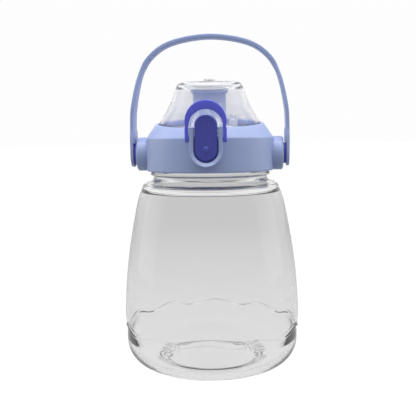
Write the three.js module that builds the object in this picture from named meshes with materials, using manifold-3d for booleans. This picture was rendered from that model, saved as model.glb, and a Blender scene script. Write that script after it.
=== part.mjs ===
// Sports drinking bottle: clear rigid body, screw lid with a flip dome, rocker button, lock ring and handle.
// Millimetres, +Z up. The origin is the centre of the base ring, and the button side of the lid faces -Y.
import * as THREE from "three";
import { mergeVertices } from "three/addons/utils/BufferGeometryUtils.js";
import Module from "manifold-3d";

const wasm = await Module();
wasm.setup();

// ---- driving dimensions -------------------------------------------------------------------------
const GAP = 0.3; // clearance between neighbouring pieces

const BODY_R = 53.2; // widest radius of the body
const BODY_WALL = 1.8;
const FOOT_IN_R = 25; // flat foot ring, inner and outer radius
const FOOT_OUT_R = 31;
const BOWL_H = 18; // height of the rounded lower edge
const BELT_Z = 24; // wavy belt round the body
const BELT_WAVES = 10;
const BELT_AMPLITUDE = 1.6;
const BELT_STEP = 0.5; // how far the bowl lies inside the skirt above the belt
const BELT_FADE = 9; // height over which the wave dies away
const NECK_R = 33.2;
const NECK_WALL = 2.4;
const BEAD_R = 36.1;
const LIP_Z = 136; // top of the bottle's mouth

const THREAD_LEAD = 6;
const THREAD_DEPTH = 1.1;
const THREAD_Z = 122.5; // start of the bottle's thread

const COLLAR_R = 38.5;
const COLLAR_WALL = 1.4;
const COLLAR_Z = 118.6; // lower edge of the lid
const CONE_Z = 138.2; // where the collar turns into its cone
const CONE_SLOPE = 0.7; // radius lost per millimetre of height
const RIM_Z = 147.1; // collar rim on the side, with a forward tilt
const RIM_TILT = 0.11; // rise per millimetre towards the back
const TOP_TILT = 0.08; // the same for the tops of the spout and the dome
const LEAN_LOW_Z = 152; // height from which that slope comes in
const LEAN_RISE = 8;
const DECK_Z = 141; // top of the threaded cap
const CAP_R = 36.8;

const SPOUT_R = 9.9;
const SPOUT_TOP_Z = 167.5;
const SPOUT_BORE_R = 7.2;
const DOME_TOP_Z = 171.9;
const DOME_WALL = 1.8;
const HINGE_Y = 34.5; // dome hinge axis, behind the rim
const HINGE_Z = 152;

const BEZEL_HALF = 9.15; // racetrack housing of the button
const BEZEL_LOW_Z = 131.35; // centre of its lower round end
const BEZEL_HIGH_Z = 144.85; // centre of its upper round end, which is the dome's arch
const BEZEL_Y = -43.6;
const BEZEL_TOP_Z = 143.9; // where the collar's half ends and the dome's half begins
const POCKET_HALF = 6.9;
const ARCH_HALF = 6.55; // opening of the arch
const ARCH_Y = -41.2;
const BUTTON_HALF = 6.2;
const BUTTON_Y = -42.4;
const BUTTON_BACK_Y = -39.8;
const BUTTON_LOW_Z = 125.7;
const BUTTON_TOP_Z = 150.7;
const SKIRT_HALF = 6.6; // flange behind the button that fills the pocket
const SKIRT_THICK = 0.9;
const ROCKER_Y = -39.6; // button pivot
const ROCKER_Z = 141.5;

const RING_Y = -42; // lock ring pivot
const RING_Z = 137.8; // low enough for the bow to pass the housing as it swings down
const RING_OUT_R = 11.45;
const RING_IN_R = 9.4;
const RING_DEPTH = 2.2;
const RING_TOP_Z = 158.6;
const RING_CROWN = 4.9; // height of the bow above its opening

const PIVOT_Z = 128.7; // handle pivot
const LUG_R = 10.1;
const LUG_X = 44;
const STRAP = 2.6; // handle thickness
const STRAP_DEPTH = 13.6; // front to back, at the arms
const CROWN_DEPTH = 8.6; // and over the top
const TAPER_LOW_Z = 158;
const TAPER_HIGH_Z = 181;
const EYE_R = 7.7;
const HANDLE_X = 47.6;
const HANDLE_TOP_Z = 199.4;
const PIN_R = 2.8;
const WASHER_R = 6.3;
const WASHER_THICK = 1.3;

// ---- solids ------------------------------------------------------------------------------------
// A three.js geometry as a manifold-3d solid.
function solid(geometry) {
  const bare = geometry.index ? geometry.toNonIndexed() : geometry.clone();
  bare.deleteAttribute("normal");
  bare.deleteAttribute("uv");
  const merged = mergeVertices(bare, 1e-4);
  return new wasm.Manifold(
    new wasm.Mesh({
      numProp: 3,
      vertProperties: new Float32Array(merged.attributes.position.array),
      triVerts: new Uint32Array(merged.index.array),
    }),
  );
}

// A manifold-3d solid as a three.js geometry.
function geometryOf(made) {
  const mesh = made.getMesh();
  const geometry = new THREE.BufferGeometry();
  geometry.setAttribute("position", new THREE.BufferAttribute(mesh.vertProperties, 3));
  geometry.setIndex(new THREE.BufferAttribute(mesh.triVerts, 1));
  geometry.computeVertexNormals();
  return geometry;
}

const join = (first, ...others) => others.reduce((all, one) => all.add(one), first);
const cut = (first, ...others) => others.reduce((rest, one) => rest.subtract(one), first);

// A solid of revolution about +Z from [radius, height] points that run counter-clockwise.
function lathe(points, segments = 48) {
  const outline = points.map(([r, z]) => new THREE.Vector2(r, z));
  return new THREE.LatheGeometry(outline, segments).rotateX(Math.PI / 2);
}

const turned = (points, segments) => solid(lathe(points, segments));

// A ring of rectangular section about +Z.
function ring(inner, outer, low, high, segments = 48) {
  return turned([[inner, low], [outer, low], [outer, high], [inner, high], [inner, low]], segments);
}

// A disc or rod about +Z.
const disc = (radius, low, high, segments = 32) =>
  turned([[0, low], [radius, low], [radius, high], [0, high]], segments);

// A rod along X between two places.
function rodX(radius, from, to, y, z, segments = 20) {
  const rod = new THREE.CylinderGeometry(radius, radius, to - from, segments);
  return solid(rod.rotateZ(Math.PI / 2).translate((from + to) / 2, y, z));
}

function box(x0, x1, y0, y1, z0, z1) {
  const block = new THREE.BoxGeometry(x1 - x0, y1 - y0, z1 - z0);
  return solid(block.translate((x0 + x1) / 2, (y0 + y1) / 2, (z0 + z1) / 2));
}

// A flat outline in X and Z, thickened along Y from front to back.
function slab(shape, front, back, curveSegments = 10) {
  const settings = { depth: back - front, bevelEnabled: false, curveSegments };
  const plate = new THREE.ExtrudeGeometry(shape, settings);
  return solid(plate.rotateX(Math.PI / 2).translate(0, back, 0));
}

// An upright outline with two round ends.
function racetrack(half, lowCentre, highCentre) {
  const shape = new THREE.Shape();
  shape.absarc(0, highCentre, half, 0, Math.PI, false);
  shape.absarc(0, lowCentre, half, Math.PI, 2 * Math.PI, false);
  shape.closePath();
  return shape;
}

// Everything above a plane that rises towards the back.
function aboveTilt(heightAtAxis) {
  const size = 200;
  const block = new THREE.BoxGeometry(size, size, size).translate(0, 0, size / 2);
  return solid(block.rotateX(Math.atan(RIM_TILT)).translate(0, 0, heightAtAxis));
}

// Moves a point so that the tops of the spout and the dome slope forwards, as the collar's rim does.
function lean(point) {
  const share = Math.min(1, Math.max(0, (point[2] - LEAN_LOW_Z) / LEAN_RISE));
  point[2] += TOP_TILT * point[1] * share;
}

// A helical ridge with tapered ends, between two radii.
function threadRidge(inner, outer, rootHalf, crestHalf, startZ, turns, startAngle) {
  const steps = Math.round(turns * 24);
  const positions = [];
  const index = [];
  for (let i = 0; i <= steps; i += 1) {
    const angle = startAngle + (i / steps) * turns * 2 * Math.PI;
    const z = startZ + (i / steps) * turns * THREAD_LEAD;
    const ends = Math.min(1, 0.25 + i / 4, 0.25 + (steps - i) / 4);
    const crest = crestHalf * ends;
    const section = [[inner, -rootHalf], [outer, -crest], [outer, crest], [inner, rootHalf]];
    for (const [r, dz] of section) positions.push(r * Math.cos(angle), r * Math.sin(angle), z + dz);
  }
  for (let i = 0; i < steps; i += 1) {
    for (let k = 0; k < 4; k += 1) {
      const [a, b] = [4 * i + k, 4 * i + ((k + 1) % 4)];
      index.push(a, a + 4, b, b, a + 4, b + 4);
    }
  }
  const last = 4 * steps;
  index.push(0, 1, 2, 0, 2, 3, last, last + 2, last + 1, last, last + 3, last + 2);
  const geometry = new THREE.BufferGeometry();
  geometry.setAttribute("position", new THREE.Float32BufferAttribute(positions, 3));
  geometry.setIndex(index);
  const ridge = solid(geometry);
  if (ridge.volume() > 0) return ridge;
  for (let i = 0; i < index.length; i += 3) [index[i + 1], index[i + 2]] = [index[i + 2], index[i + 1]];
  geometry.setIndex(index);
  return solid(geometry);
}

// A coil of round wire about an axis along X.
function coilX(radius, wire, from, to, turns, y, z) {
  class Helix extends THREE.Curve {
    getPoint(t, target = new THREE.Vector3()) {
      const angle = t * turns * 2 * Math.PI;
      return target.set(from + t * (to - from), y + radius * Math.cos(angle), z + radius * Math.sin(angle));
    }
  }
  const section = new THREE.Shape().absarc(0, 0, wire / 2, 0, 2 * Math.PI, false);
  return new THREE.ExtrudeGeometry(section, {
    steps: turns * 10,
    extrudePath: new Helix(),
    bevelEnabled: false,
    curveSegments: 3,
  });
}

// ---- bottle ------------------------------------------------------------------------------------
const SIDE = [
  [BODY_R, 30.5],
  [53.1, 38.5],
  [51.6, 58],
  [48.9, 77.5],
  [44.6, 99.5],
  [41.6, 108.5],
];
const BOWL_R = BODY_R - BELT_STEP - 0.1;

// The rounded lower edge, a superellipse from the foot ring up to the bowl's widest radius.
function bowlPoint(angle, inset) {
  const power = 2 / 2.4;
  const r = FOOT_OUT_R + (BOWL_R - FOOT_OUT_R) * Math.sin(angle) ** power - inset;
  return [r, inset + (BOWL_H - inset) * (1 - Math.cos(angle) ** power)];
}

function bodyProfile() {
  const bowl = [0.35, 0.75, 1.1, 1.35, Math.PI / 2];
  const spline = new THREE.SplineCurve(SIDE.map(([r, z]) => new THREE.Vector2(r, z)));
  const side = spline.getPoints(6);
  const innerSide = spline.getPoints(4);
  const outer = [
    [0, 5.4],
    [14, 4.9],
    [20.5, 3],
    [FOOT_IN_R, 0],
    [FOOT_OUT_R, 0],
    ...bowl.map((angle) => bowlPoint(angle, 0)),
    [BOWL_R, BELT_Z - 1],
    [BODY_R - 0.1, BELT_Z + 0.4],
    ...side.map((p) => [p.x, p.y]),
    [38.6, 111.5],
    [35.2, 112.9],
    [34.4, 114.1],
    [34.4, 115.7],
    [BEAD_R, 116.6],
    [BEAD_R, 117.5],
    [NECK_R, 118.2],
    [NECK_R, LIP_Z],
  ];
  const inner = [
    [NECK_R - NECK_WALL, LIP_Z],
    [NECK_R - NECK_WALL, 114],
    [34, 111.5],
    [38.2, 109.3],
    ...innerSide.map((p) => [p.x - BODY_WALL, p.y]).reverse().slice(1),
    [BODY_R - BODY_WALL, BELT_Z + 0.4],
    [BOWL_R - BODY_WALL, BELT_Z - 1],
    ...bowl.slice(1).map((angle) => bowlPoint(angle, BODY_WALL + 0.6)).reverse(),
    [29, 3.4],
    [24.4, 5.2],
    [0, 7.9],
  ];
  return [...outer, ...inner];
}

// Lifts and lowers the belt in ten even waves; the wave fades out above and below it.
function waveBelt(geometry) {
  const position = geometry.attributes.position;
  for (let i = 0; i < position.count; i += 1) {
    const [x, y, z] = [position.getX(i), position.getY(i), position.getZ(i)];
    if (Math.hypot(x, y) < BOWL_R - 3 || z < BOWL_H - 4 || z > 31) continue;
    const fade = 1 - Math.min(1, Math.abs(z - BELT_Z) / BELT_FADE);
    const angle = Math.atan2(y, x) + Math.PI / 2;
    position.setZ(i, z + BELT_AMPLITUDE * fade * Math.cos(BELT_WAVES * angle));
  }
  return geometry;
}

function bottleBody() {
  const shell = solid(waveBelt(lathe(bodyProfile(), 40)));
  const ridge = threadRidge(NECK_R - 0.6, NECK_R + THREAD_DEPTH, 1.1, 0.5, THREAD_Z, 1.5, 0);
  return join(shell, ridge);
}

// ---- lid ---------------------------------------------------------------------------------------
const VENT = { x: 14.2, y: -9.4, r: 2.6 };

// The threaded cap that screws on the neck, with the deck that carries the spout.
function innerCap() {
  const wall = CAP_R - 1.5;
  const cup = turned([
    [0, DECK_Z - 2.6], [wall, DECK_Z - 2.6], [wall, COLLAR_Z + 0.5],
    [CAP_R, COLLAR_Z + 0.5], [CAP_R, DECK_Z - 2.2], [CAP_R - 2.6, DECK_Z], [0, DECK_Z],
  ]);
  const ridge = threadRidge(wall + 0.4, wall - 1.5, 1, 0.5, THREAD_Z + THREAD_LEAD / 2, 1.25, 0);
  const spoutHole = disc(8.2, DECK_Z - 5, DECK_Z + 5);
  const ventHole = disc(1.9, DECK_Z - 5, DECK_Z + 5, 16).translate([VENT.x, VENT.y, 0]);
  return cut(join(cup, ridge), spoutHole, ventHole);
}

// The outer collar with its cone, handle lugs, button housing and the ears of the dome hinge.
function collarShell() {
  const coneR = (z) => COLLAR_R - 0.2 - CONE_SLOPE * (z - CONE_Z);
  const top = RIM_Z + 6;
  const wall = COLLAR_WALL;
  const outside = turned([
    [0, COLLAR_Z], [COLLAR_R - 0.6, COLLAR_Z], [COLLAR_R, COLLAR_Z + 0.8],
    [COLLAR_R, CONE_Z - 0.8], [COLLAR_R - 0.5, CONE_Z + 0.6], [coneR(top), top], [0, top],
  ], 40);
  const inside = turned([
    [0, COLLAR_Z - 2], [COLLAR_R - wall, COLLAR_Z - 2], [COLLAR_R - wall, CONE_Z + 1.2],
    [coneR(DECK_Z + 1) - 1.6, DECK_Z + 1], [coneR(top) - 1.6, top + 2], [0, top + 2],
  ], 40);
  const bezelShape = racetrack(BEZEL_HALF, BEZEL_LOW_Z, BEZEL_HIGH_Z);
  const bezel = cut(slab(bezelShape, BEZEL_Y, -30), box(-20, 20, -60, 0, BEZEL_TOP_Z, 200));
  const lugs = [-1, 1].map((side) => rodX(LUG_R, side * 20 - 24, side * 20 + 24, 0, PIVOT_Z, 40));
  const ears = [-1, 1].map((side) => {
    const [from, to] = side < 0 ? [-10, -7] : [7, 10];
    const foot = box(from, to, HINGE_Y - 6, HINGE_Y + 2.6, HINGE_Z - 9, HINGE_Z);
    return join(foot, rodX(2.6, from, to, HINGE_Y, HINGE_Z));
  });
  const blank = join(outside, bezel, ...lugs);
  const trimmed = join(cut(blank, aboveTilt(RIM_Z)), ...ears);
  const pocket = slab(racetrack(POCKET_HALF, BEZEL_LOW_Z - 0.35, BEZEL_HIGH_Z), -60, -30);
  const pinHoles = [
    rodX(1.15, -8.7, 8.7, ROCKER_Y, ROCKER_Z),
    rodX(1.15, -20, 20, HINGE_Y, HINGE_Z),
    ...[-1, 1].map((side) => rodX(1.1, side * 9 - 1.5, side * 9 + 1.5, RING_Y, RING_Z)),
    ...[-1, 1].map((side) => rodX(PIN_R + GAP, side * 42 - 3.4, side * 42 + 3.4, 0, PIVOT_Z, 24)),
  ];
  const knuckleRoom = join(
    rodX(4.2, -6.9, 6.9, HINGE_Y, HINGE_Z),
    box(-6.9, 6.9, HINGE_Y - 10, HINGE_Y, HINGE_Z - 4.2, HINGE_Z + 5),
  );
  return cut(trimmed, inside, pocket, knuckleRoom, ...pinHoles);
}

// The drinking spout: flange, stem and rolled rim, open all the way down.
function spout() {
  const floor = DECK_Z - 2.6;
  return turned([
    [SPOUT_BORE_R, floor], [7.9, floor], [7.9, DECK_Z + 1.2], [13.6, DECK_Z + 1.2],
    [13.6, DECK_Z + 2.6], [SPOUT_R + 0.8, DECK_Z + 3.4], [SPOUT_R, DECK_Z + 5],
    [SPOUT_R, SPOUT_TOP_Z - 2.9], [SPOUT_R + 1.3, SPOUT_TOP_Z - 2.2],
    [SPOUT_R + 1.3, SPOUT_TOP_Z - 0.6], [SPOUT_R + 0.6, SPOUT_TOP_Z],
    [SPOUT_BORE_R + 0.4, SPOUT_TOP_Z], [SPOUT_BORE_R, SPOUT_TOP_Z - 0.5], [SPOUT_BORE_R, floor],
  ], 32).warp(lean);
}

const spoutGasket = () => ring(8.4, 13.2, DECK_Z + GAP, DECK_Z + 0.9, 32);
const mouthGasket = () => ring(30.6, 34, LIP_Z + GAP, DECK_Z - 2.6 - GAP, 40);

// The soft vent plug beside the spout.
function ventPlug() {
  const plug = turned([
    [0, DECK_Z - 3.4], [1.5, DECK_Z - 3.4], [1.5, DECK_Z + GAP], [VENT.r, DECK_Z + GAP],
    [VENT.r, DECK_Z + 8.5], [1.9, DECK_Z + 10.2], [0, DECK_Z + 10.8],
  ], 20);
  return plug.translate([VENT.x, VENT.y, 0]);
}

// ---- dome --------------------------------------------------------------------------------------
const DOME_SIDE = [
  [33.2, 143.5],
  [30.5, 147.3],
  [26.6, 153.5],
  [23.5, 159.5],
  [21.3, 165.3],
  [20, 168.9],
];

// The clear flip cover with the arch round the button and its hinge knuckles.
function domeCover() {
  const outerSide = new THREE.SplineCurve(DOME_SIDE.map(([r, z]) => new THREE.Vector2(r, z))).getPoints(6);
  const skirt = [35.5, 140.7]; // below the tilted trim
  const outside = turned([
    [0, skirt[1]], skirt, ...outerSide.map((p) => [p.x, p.y]),
    [18.6, 170.8], [16.4, DOME_TOP_Z], [0, DOME_TOP_Z],
  ], 40).warp(lean);
  const wall = DOME_WALL;
  const inside = turned([
    [0, skirt[1] - 2], [skirt[0] - 0.4, skirt[1] - 2], ...outerSide.map((p) => [p.x - wall, p.y]),
    [16.5, DOME_TOP_Z - wall], [0, DOME_TOP_Z - wall],
  ], 40).warp(lean);
  const archShape = racetrack(BEZEL_HALF, BEZEL_LOW_Z, BEZEL_HIGH_Z);
  const opening = slab(racetrack(ARCH_HALF, BEZEL_LOW_Z, BEZEL_HIGH_Z), -60, -20);
  const below = box(-20, 20, -60, 0, 100, BEZEL_TOP_Z + GAP);
  const arch = cut(slab(archShape, ARCH_Y, -22), opening, below);
  const knuckles = [-1, 1].map((side) => {
    const [from, to] = side < 0 ? [-6.6, -3.5] : [3.5, 6.6];
    const arm = box(from, to, HINGE_Y - 9.5, HINGE_Y, HINGE_Z - 1.6, HINGE_Z + 2.6);
    return join(arm, rodX(2.6, from, to, HINGE_Y, HINGE_Z));
  });
  const kept = outside.intersect(aboveTilt(RIM_Z + GAP));
  const blank = join(kept, arch, ...knuckles);
  const stemHole = disc(2.1, DOME_TOP_Z - 5, DOME_TOP_Z + 5, 20);
  return cut(blank, inside, stemHole, rodX(1.2, -8, 8, HINGE_Y, HINGE_Z));
}

// The soft seal that the dome presses on the spout: a disc under the top, a stem and a round head on it.
function spoutSeal() {
  const under = DOME_TOP_Z - DOME_WALL - GAP;
  const head = DOME_TOP_Z + GAP;
  return turned([
    [0, under - 2], [12.4, under - 2], [12.4, under], [1.8, under], [1.8, head],
    [3.7, head], [3.5, head + 0.6], [2.4, head + 1], [0, head + 1.1],
  ], 32).warp(lean);
}

const domeHingePin = () => rodX(0.9, -9.6, 9.6, HINGE_Y, HINGE_Z, 16);
const domeSpring = () => coilX(1.6, 0.6, -2.8, 2.8, 4, HINGE_Y, HINGE_Z);

// ---- latch -------------------------------------------------------------------------------------
// The rocker button: a thick plate with round ends, a raised dot, and a boss round its pin at the back.
function releaseButton() {
  const plate = slab(
    racetrack(BUTTON_HALF, BUTTON_LOW_Z + BUTTON_HALF, BUTTON_TOP_Z - BUTTON_HALF),
    BUTTON_Y,
    BUTTON_BACK_Y,
  );
  const boss = rodX(2, -6, 6, ROCKER_Y, ROCKER_Z);
  const skirt = slab(
    racetrack(SKIRT_HALF, BEZEL_LOW_Z, ROCKER_Z - 5.5),
    BUTTON_BACK_Y - SKIRT_THICK,
    BUTTON_BACK_Y,
  );
  const dot = new THREE.SphereGeometry(1.8, 14, 8).scale(1, 0.45, 1);
  dot.translate(0, BUTTON_Y, BUTTON_LOW_Z + 6.1);
  const springRoom = rodX(2.2, -2.8, 2.8, ROCKER_Y, ROCKER_Z);
  const springMouth = box(-2.8, 2.8, ROCKER_Y, ROCKER_Y + 5, ROCKER_Z - 2.2, ROCKER_Z + 2.2);
  const pinHole = rodX(1.2, -8, 8, ROCKER_Y, ROCKER_Z);
  return cut(join(plate, boss, skirt, solid(dot)), pinHole, springRoom, springMouth);
}

const buttonPin = () => rodX(0.85, -8.4, 8.4, ROCKER_Y, ROCKER_Z, 16);
const buttonSpring = () => coilX(1.55, 0.5, -2.3, 2.3, 4, ROCKER_Y, ROCKER_Z);

// The lock ring: a bow, thicker at its crown, whose two legs pivot on the housing's sides.
function lockRing() {
  const bowCentre = RING_TOP_Z - RING_OUT_R;
  const innerCentre = RING_TOP_Z - RING_CROWN - RING_IN_R;
  const shape = new THREE.Shape();
  shape.moveTo(RING_OUT_R, RING_Z);
  shape.absarc(0, bowCentre, RING_OUT_R, 0, Math.PI, false);
  shape.lineTo(-RING_OUT_R, RING_Z);
  shape.lineTo(-RING_IN_R, RING_Z);
  shape.absarc(0, innerCentre, RING_IN_R, Math.PI, 0, true);
  shape.lineTo(RING_IN_R, RING_Z);
  shape.closePath();
  const bow = slab(shape, RING_Y - 2.1, RING_Y - 2.1 + RING_DEPTH, 16);
  const ends = [-1, 1].map((side) => {
    const [from, to] = side < 0 ? [-RING_OUT_R, -RING_IN_R] : [RING_IN_R, RING_OUT_R];
    const stub = side < 0 ? [-10, -7.9] : [7.9, 10];
    return join(rodX(2.1, from, to, RING_Y, RING_Z), rodX(0.8, stub[0], stub[1], RING_Y, RING_Z, 14));
  });
  return join(bow, ...ends);
}

// ---- handle ------------------------------------------------------------------------------------
const ARCH_POINTS = [
  [HANDLE_X, PIVOT_Z - EYE_R],
  [HANDLE_X, 144.5],
  [46.7, 158],
  [42.6, 175.5],
  [36.3, 187.2],
  [23, 195.8],
  [0, HANDLE_TOP_Z],
];

function strapShape() {
  const half = ARCH_POINTS.map(([x, z]) => new THREE.Vector2(x, z));
  const mirrored = half.slice(0, -1).reverse().map((p) => new THREE.Vector2(-p.x, p.y));
  const outer = new THREE.SplineCurve([...half, ...mirrored]);
  const count = 36;
  const edge = [];
  const back = [];
  for (let i = 0; i <= count; i += 1) {
    const point = outer.getPoint(i / count);
    const along = outer.getTangent(i / count);
    edge.push(point);
    back.push(new THREE.Vector2(point.x - along.y * STRAP, point.y + along.x * STRAP));
  }
  return new THREE.Shape([...edge, ...back.reverse()]);
}

// The carry handle: a strap bent over the lid, with a round eye at each end.
function handle() {
  const strap = slab(strapShape(), -20, 20);
  const side = new THREE.Shape();
  const half = STRAP_DEPTH / 2;
  side.moveTo(CROWN_DEPTH / 2, HANDLE_TOP_Z + 5);
  side.lineTo(-CROWN_DEPTH / 2, HANDLE_TOP_Z + 5);
  side.lineTo(-CROWN_DEPTH / 2, TAPER_HIGH_Z);
  side.lineTo(-half, TAPER_LOW_Z);
  side.lineTo(-half, PIVOT_Z + 14);
  side.lineTo(-EYE_R, PIVOT_Z + 12.5);
  side.absarc(0, PIVOT_Z, EYE_R, Math.PI, 2 * Math.PI, false);
  side.lineTo(EYE_R, PIVOT_Z + 12.5);
  side.lineTo(half, PIVOT_Z + 14);
  side.lineTo(half, TAPER_LOW_Z);
  side.lineTo(CROWN_DEPTH / 2, TAPER_HIGH_Z);
  side.closePath();
  const outline = new THREE.ExtrudeGeometry(side, { depth: 120, bevelEnabled: false, curveSegments: 14 });
  outline.rotateX(Math.PI / 2).rotateZ(Math.PI / 2).translate(-60, 0, 0);
  const cuts = [-1, 1].flatMap((end) => {
    const face = HANDLE_X - STRAP;
    const eye = EYE_R + 1;
    const span = (from, to) => (end < 0 ? [-to, -from] : [from, to]);
    return [
      rodX(PIN_R + GAP, ...span(40, 50), 0, PIVOT_Z, 24),
      box(...span(face - 3, face + 0.8), -eye, eye, PIVOT_Z - eye, PIVOT_Z + WASHER_R + 0.4),
      rodX(4.4, ...span(HANDLE_X - 0.9, HANDLE_X + 3), 0, PIVOT_Z, 24),
    ];
  });
  return cut(strap.intersect(solid(outline)), ...cuts);
}

// A handle pivot on one side: a pin with a flat head.
function pivotPin(side) {
  const span = (from, to) => (side < 0 ? [-to, -from] : [from, to]);
  return join(
    rodX(PIN_R, ...span(39.2, HANDLE_X - 0.5), 0, PIVOT_Z, 24),
    rodX(4.1, ...span(HANDLE_X - 0.6, HANDLE_X + 0.1), 0, PIVOT_Z, 24),
  );
}

function pivotWasher(side) {
  const [from, to] = [LUG_X + GAP, LUG_X + GAP + WASHER_THICK - 0.1];
  const span = side < 0 ? [-to, -from] : [from, to];
  return cut(rodX(WASHER_R, ...span, 0, PIVOT_Z, 28), rodX(PIN_R + GAP, -60, 60, 0, PIVOT_Z, 24));
}

// ---- assembly ----------------------------------------------------------------------------------
const FINISH = {
  clear: { color: 0xdfe2e6, roughness: 0.06, metalness: 0, transparent: true, opacity: 0.35 },
  periwinkle: { color: 0x9fb0dc, roughness: 0.42, metalness: 0 },
  indigo: { color: 0x5355b8, roughness: 0.38, metalness: 0 },
  silicone: { color: 0xd9dadd, roughness: 0.6, metalness: 0 },
  steel: { color: 0xb8bbc0, roughness: 0.3, metalness: 1 },
};

const PIECES = [
  ["bottle_body", bottleBody, "clear"],
  ["mouth_gasket", mouthGasket, "silicone"],
  ["inner_cap", innerCap, "periwinkle"],
  ["collar_shell", collarShell, "periwinkle"],
  ["spout", spout, "periwinkle"],
  ["spout_gasket", spoutGasket, "silicone"],
  ["vent_plug", ventPlug, "silicone"],
  ["dome_cover", domeCover, "clear"],
  ["spout_seal", spoutSeal, "silicone"],
  ["dome_hinge_pin", domeHingePin, "steel"],
  ["dome_spring", domeSpring, "steel"],
  ["release_button", releaseButton, "indigo"],
  ["button_pin", buttonPin, "steel"],
  ["button_spring", buttonSpring, "steel"],
  ["lock_ring", lockRing, "indigo"],
  ["handle", handle, "periwinkle"],
  ["pivot_pin_left", () => pivotPin(-1), "periwinkle"],
  ["pivot_pin_right", () => pivotPin(1), "periwinkle"],
  ["pivot_washer_left", () => pivotWasher(-1), "indigo"],
  ["pivot_washer_right", () => pivotWasher(1), "indigo"],
];

const group = new THREE.Group();
for (const [name, make, finish] of PIECES) {
  const made = make();
  const geometry = made.isBufferGeometry ? made : geometryOf(made);
  const mesh = new THREE.Mesh(geometry, new THREE.MeshStandardMaterial(FINISH[finish]));
  mesh.name = name;
  group.add(mesh);
}

export default group;
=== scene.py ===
"""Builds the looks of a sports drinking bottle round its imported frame, an operator to each group."""

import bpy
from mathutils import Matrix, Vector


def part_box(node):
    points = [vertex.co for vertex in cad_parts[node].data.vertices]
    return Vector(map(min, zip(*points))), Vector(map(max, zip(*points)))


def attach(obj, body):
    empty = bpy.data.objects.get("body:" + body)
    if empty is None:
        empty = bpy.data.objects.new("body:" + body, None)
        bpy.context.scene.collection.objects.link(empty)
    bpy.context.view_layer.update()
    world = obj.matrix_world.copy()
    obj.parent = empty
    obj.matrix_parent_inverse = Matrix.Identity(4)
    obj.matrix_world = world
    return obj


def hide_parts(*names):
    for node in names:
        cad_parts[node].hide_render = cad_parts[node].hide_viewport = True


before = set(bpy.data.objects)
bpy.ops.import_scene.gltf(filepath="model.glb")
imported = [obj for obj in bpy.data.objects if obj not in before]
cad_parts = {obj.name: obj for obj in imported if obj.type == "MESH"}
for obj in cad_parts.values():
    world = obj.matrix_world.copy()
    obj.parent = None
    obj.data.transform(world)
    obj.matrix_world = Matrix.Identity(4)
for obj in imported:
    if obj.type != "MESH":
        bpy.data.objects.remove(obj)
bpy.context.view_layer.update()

import math

import bmesh
import bpy
from mathutils import Matrix, Vector

bl_info = {
    "name": "Sports Drinking Bottle",
    "version": (1, 0, 0),
    "blender": (4, 5, 0),
    "location": "3D View > Sidebar > Bottle",
    "description": "Clear bottle with a flip-dome screw lid, lock ring and carry handle",
    "category": "Add Mesh",
}

MM = 0.001


def high(node, axis):
    """Upper end of a node's box along an axis, in millimetres."""
    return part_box(node)[1][axis] / MM


def low(node, axis):
    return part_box(node)[0][axis] / MM


# ---- node trees ----
class Value:
    """A node socket that takes part in Python arithmetic."""

    def __init__(self, tree, socket):
        self.tree = tree
        self.socket = socket

    def maths(self, operation, *values):
        node = self.tree.nodes.new("ShaderNodeMath")
        node.operation = operation
        for slot, value in zip(node.inputs, values):
            plug(self.tree, value, slot)
        return Value(self.tree, node.outputs[0])

    def __add__(self, other):
        return self.maths("ADD", self, other)

    def __sub__(self, other):
        return self.maths("SUBTRACT", self, other)

    def __rsub__(self, other):
        return self.maths("SUBTRACT", other, self)

    def __mul__(self, other):
        return self.maths("MULTIPLY", self, other)

    __radd__ = __add__
    __rmul__ = __mul__

    def clipped(self):
        return self.maths("MINIMUM", self.maths("MAXIMUM", self, 0.0), 1.0)


def plug(tree, value, slot):
    """Links a value to a socket, or sets the socket to a plain one."""
    if isinstance(value, Value):
        tree.links.new(value.socket, slot)
    else:
        slot.default_value = value


class Nodes:
    """Adds nodes to a tree. Sockets are given by name, or by number after an underscore."""

    def __init__(self, tree):
        self.tree = tree

    def node(self, kind, settings=None, output=0, **sockets):
        made = self.tree.nodes.new(kind)
        for key, value in (settings or {}).items():
            setattr(made, key, value)
        for key, value in sockets.items():
            plug(self.tree, value, made.inputs[int(key[1:]) if key[1:].isdigit() else key.replace("_", " ")])
        return Value(self.tree, made.outputs[output])


class Finish(Nodes):
    """A material on the Principled shader, with its patterns read from Object coordinates."""

    def __init__(self, name, colour, roughness, **constants):
        self.material = bpy.data.materials.new(name)
        self.material.use_nodes = True
        super().__init__(self.material.node_tree)
        self.shader = self.tree.nodes["Principled BSDF"]
        self.material.diffuse_color = (*colour[:3], 1.0)
        self.set("Base Color", (*colour[:3], 1.0))
        self.set("Roughness", roughness)
        for socket, value in constants.items():
            self.set(socket.replace("_", " "), value)

    def set(self, socket, value):
        plug(self.tree, value, self.shader.inputs[socket])

    def place(self, scale=(1, 1, 1)):
        """Object coordinates in millimetres, stretched by scale."""
        coordinates = self.node("ShaderNodeTexCoord", output="Object")
        return self.node(
            "ShaderNodeMapping", Vector=coordinates, Scale=tuple(1 / MM * factor for factor in scale)
        )

    def noise(self, grain, detail=3.0, stretch=(1, 1, 1)):
        """Noise whose grains are about that many millimetres across."""
        scale = tuple(factor / grain for factor in stretch)
        return self.node(
            "ShaderNodeTexNoise", Vector=self.place(scale), Scale=1.0, Detail=detail, Roughness=0.55
        )

    def mix(self, factor, first, second):
        """A colour between two colours, each of them plain or a node's."""
        first, second = (end if isinstance(end, Value) else (*end, 1.0) for end in (first, second))
        return self.node("ShaderNodeMix", {"data_type": "RGBA"}, output=2, _0=factor, _6=first, _7=second)

    def bump(self, *layers):
        """Stacks (height, depth in millimetres) layers into the normal."""
        normal = None
        for height, depth in layers:
            sockets = {"Height": height, "Distance": depth * MM, "Strength": 1.0}
            if normal is not None:
                sockets["Normal"] = normal
            normal = self.node("ShaderNodeBump", **sockets)
        self.set("Normal", normal)


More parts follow.
